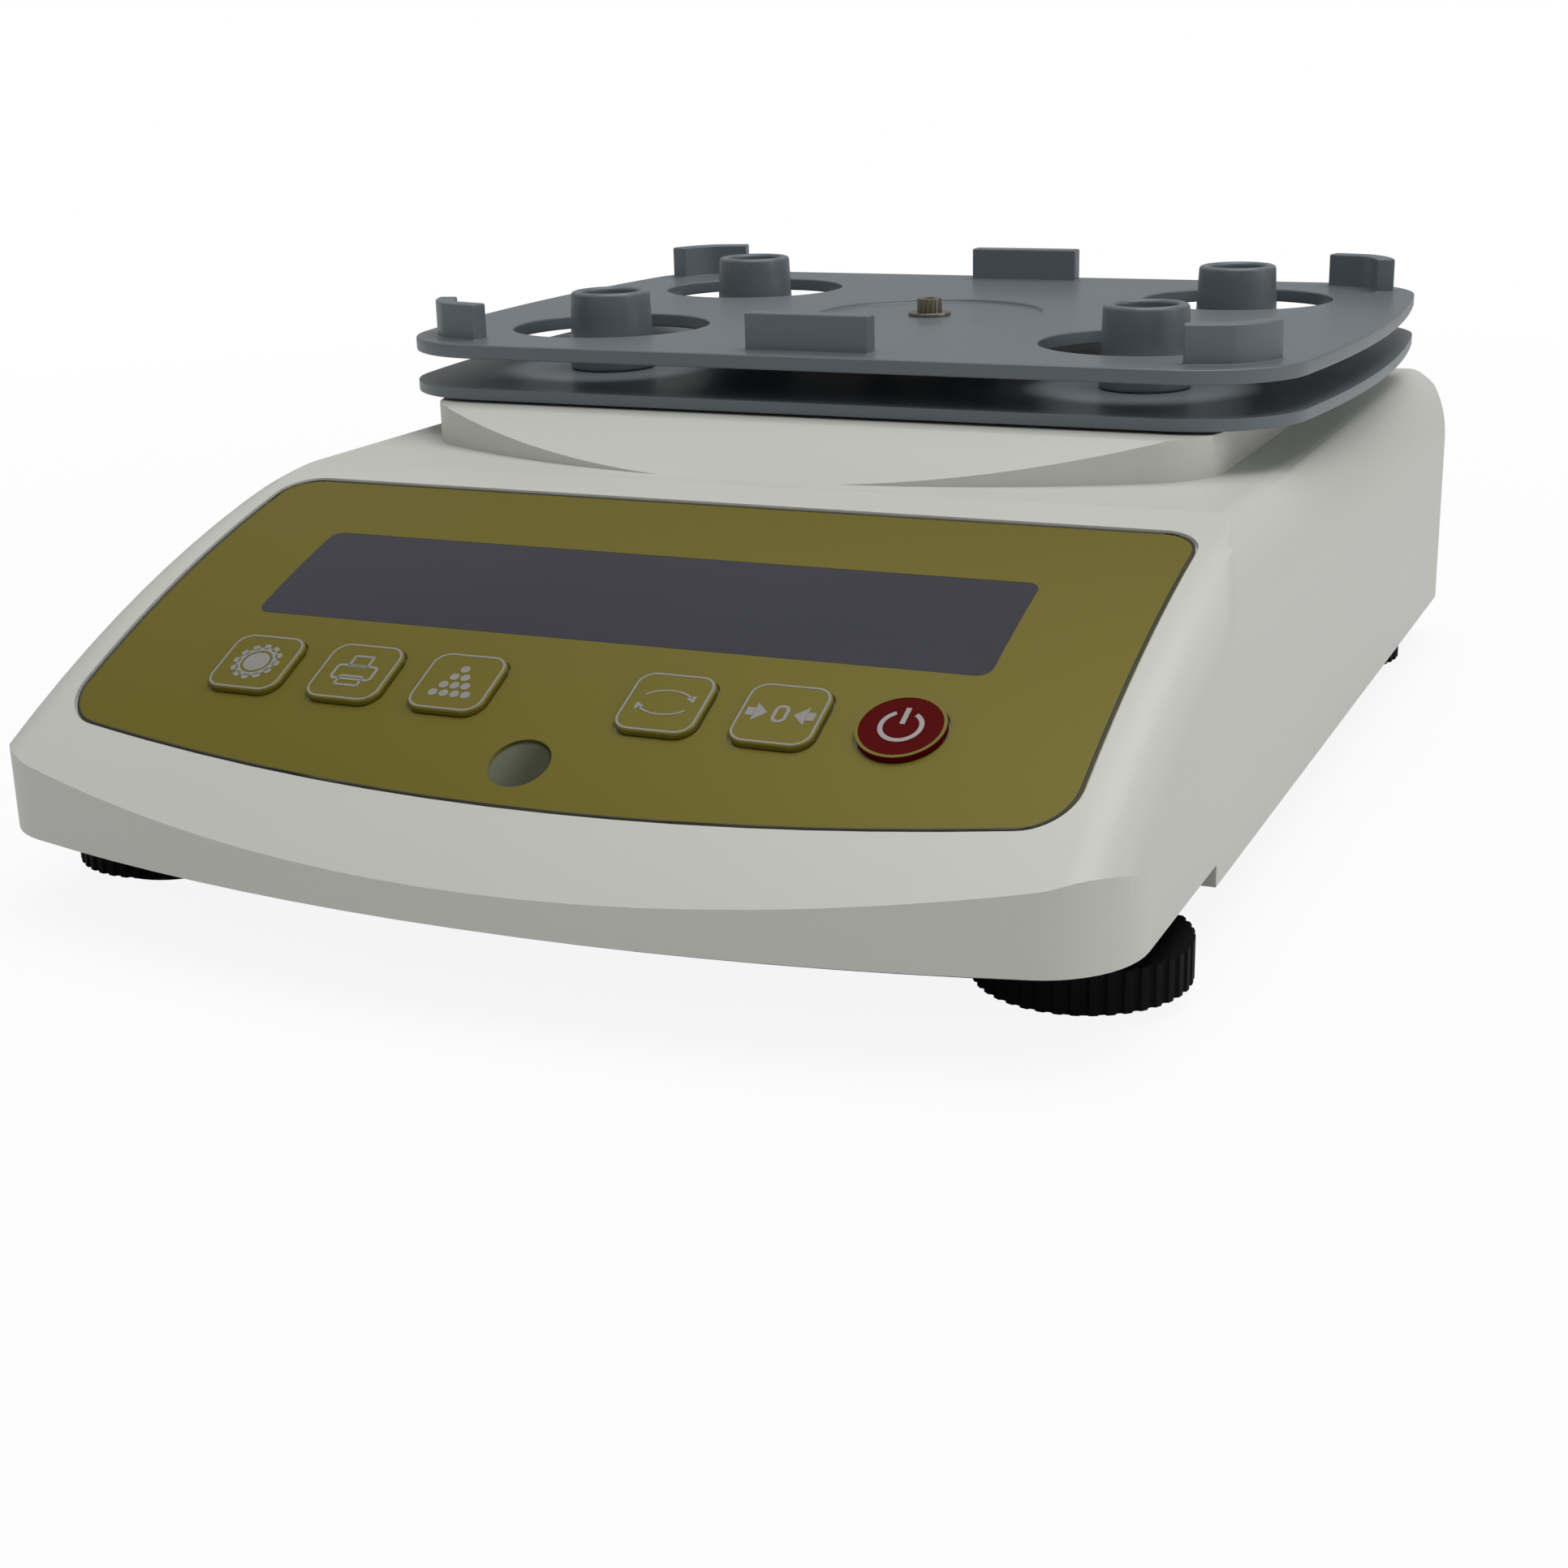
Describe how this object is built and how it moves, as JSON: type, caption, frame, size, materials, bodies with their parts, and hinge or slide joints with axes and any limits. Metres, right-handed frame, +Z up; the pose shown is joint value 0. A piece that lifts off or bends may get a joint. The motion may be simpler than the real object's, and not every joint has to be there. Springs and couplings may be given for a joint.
{
  "type": "benchtop density meter",
  "caption": "Benchtop density meter: low wedge balance base, curved keypad with display, tank plate on posts under a sprung weighing plate with lugs, screw levelling feet.",
  "frame": {"origin": "on the bench, under the middle of the footprint", "axes": "+Z up, +Y towards the rear, +X to the right of someone facing the keypad"},
  "size_m": [0.2102, 0.298, 0.0915],
  "materials": {
    "cover": "satin off-white moulded plastic",
    "tray": "matt black",
    "overlay": "satin olive-gold printed film",
    "window": "gloss, smoked",
    "lcd": "blank display glass",
    "board": "green solder mask",
    "key_film": "satin olive-gold film with a silver outline",
    "key_red": "gloss dark red",
    "vial": "clear, greenish liquid",
    "plate": "satin blue-grey moulded plastic",
    "steel": "plain",
    "nickel_brass": "satin",
    "alloy": "machined",
    "standoff": "natural nylon",
    "wheel": "matt black, knurled",
    "pad": "matt black"
  },
  "bodies": {
    "housing": {"top_cover": "cover", "base_tray": "tray", "case_screws": "steel", "keypad_overlay": "overlay", "display_window": "window", "lcd_module": "lcd", "display_board": "board", "key_switches": "tray", "level_vial": "vial", "tank_plate": "plate", "tank_posts": "plate", "tank_screws": "steel", "load_cell": "alloy", "cell_spacer": "alloy", "cell_screws": "steel", "overload_stop": "nickel_brass", "main_board": "board", "board_standoffs": "standoff", "dc_jack": "tray", "serial_port": "steel"},
    "platform": {"weigh_plate": "plate", "platform_washer": "nickel_brass", "platform_screw": "nickel_brass", "platform_hub": "alloy", "hub_screws": "steel", "load_cell_free_end": "alloy"},
    "key_set": {"key_set": "key_film"},
    "key_print": {"key_print": "key_film"},
    "key_enter": {"key_enter": "key_film"},
    "key_mode": {"key_mode": "key_film"},
    "key_zero": {"key_zero": "key_film"},
    "key_power": {"key_power": "key_red"},
    "pad_front_left": {"pad_front_left": "pad"},
    "wheel_front_left": {"wheel_front_left": "wheel"},
    "pad_front_right": {"pad_front_right": "pad"},
    "wheel_front_right": {"wheel_front_right": "wheel"},
    "pad_rear_left": {"pad_rear_left": "pad"},
    "wheel_rear_left": {"wheel_rear_left": "wheel"},
    "pad_rear_right": {"pad_rear_right": "pad"},
    "wheel_rear_right": {"wheel_rear_right": "wheel"}
  },
  "joints": [
    {"name": "platform_sink", "type": "slide", "parent": "housing", "child": "platform", "axis": [0, 0, -1], "range_m": [0, 0.0004], "stiffness_N_per_m": 20000, "springref_m": -0.00014},
    {"name": "press_set", "type": "slide", "parent": "housing", "child": "key_set", "axis": [0, 0.421, -0.907], "range_m": [0, 0.0006], "stiffness_N_per_m": 2000, "springref_m": -0.0004},
    {"name": "press_print", "type": "slide", "parent": "housing", "child": "key_print", "axis": [0, 0.421, -0.907], "range_m": [0, 0.0006], "stiffness_N_per_m": 2000, "springref_m": -0.0004},
    {"name": "press_enter", "type": "slide", "parent": "housing", "child": "key_enter", "axis": [0, 0.421, -0.907], "range_m": [0, 0.0006], "stiffness_N_per_m": 2000, "springref_m": -0.0004},
    {"name": "press_mode", "type": "slide", "parent": "housing", "child": "key_mode", "axis": [0, 0.421, -0.907], "range_m": [0, 0.0006], "stiffness_N_per_m": 2000, "springref_m": -0.0004},
    {"name": "press_zero", "type": "slide", "parent": "housing", "child": "key_zero", "axis": [0, 0.421, -0.907], "range_m": [0, 0.0006], "stiffness_N_per_m": 2000, "springref_m": -0.0004},
    {"name": "press_power", "type": "slide", "parent": "housing", "child": "key_power", "axis": [0, 0.421, -0.907], "range_m": [0, 0.0006], "stiffness_N_per_m": 2000, "springref_m": -0.0004},
    {"name": "level_front_left", "type": "slide", "parent": "housing", "child": "pad_front_left", "axis": [0, 0, -1], "range_m": [-0.0006, 0.0024]},
    {"name": "turn_front_left", "type": "hinge", "parent": "pad_front_left", "child": "wheel_front_left", "pos_m": [-0.0876, -0.104, 0.006], "axis": [0, 0, 1], "range_deg": [-692, 173]},
    {"name": "level_front_right", "type": "slide", "parent": "housing", "child": "pad_front_right", "axis": [0, 0, -1], "range_m": [-0.0006, 0.0024]},
    {"name": "turn_front_right", "type": "hinge", "parent": "pad_front_right", "child": "wheel_front_right", "pos_m": [0.0876, -0.104, 0.006], "axis": [0, 0, 1], "range_deg": [-692, 173]},
    {"name": "level_rear_left", "type": "slide", "parent": "housing", "child": "pad_rear_left", "axis": [0, 0, -1], "range_m": [-0.0006, 0.0024]},
    {"name": "turn_rear_left", "type": "hinge", "parent": "pad_rear_left", "child": "wheel_rear_left", "pos_m": [-0.082, 0.104, 0.006], "axis": [0, 0, 1], "range_deg": [-692, 173]},
    {"name": "level_rear_right", "type": "slide", "parent": "housing", "child": "pad_rear_right", "axis": [0, 0, -1], "range_m": [-0.0006, 0.0024]},
    {"name": "turn_rear_right", "type": "hinge", "parent": "pad_rear_right", "child": "wheel_rear_right", "pos_m": [0.082, 0.104, 0.006], "axis": [0, 0, 1], "range_deg": [-692, 173]}
  ],
  "couplings": [
    {"joint": "turn_front_left", "follows": "level_front_left", "rad_per_m": -5026.5},
    {"joint": "turn_front_right", "follows": "level_front_right", "rad_per_m": -5026.5},
    {"joint": "turn_rear_left", "follows": "level_rear_left", "rad_per_m": -5026.5},
    {"joint": "turn_rear_right", "follows": "level_rear_right", "rad_per_m": -5026.5}
  ]
}
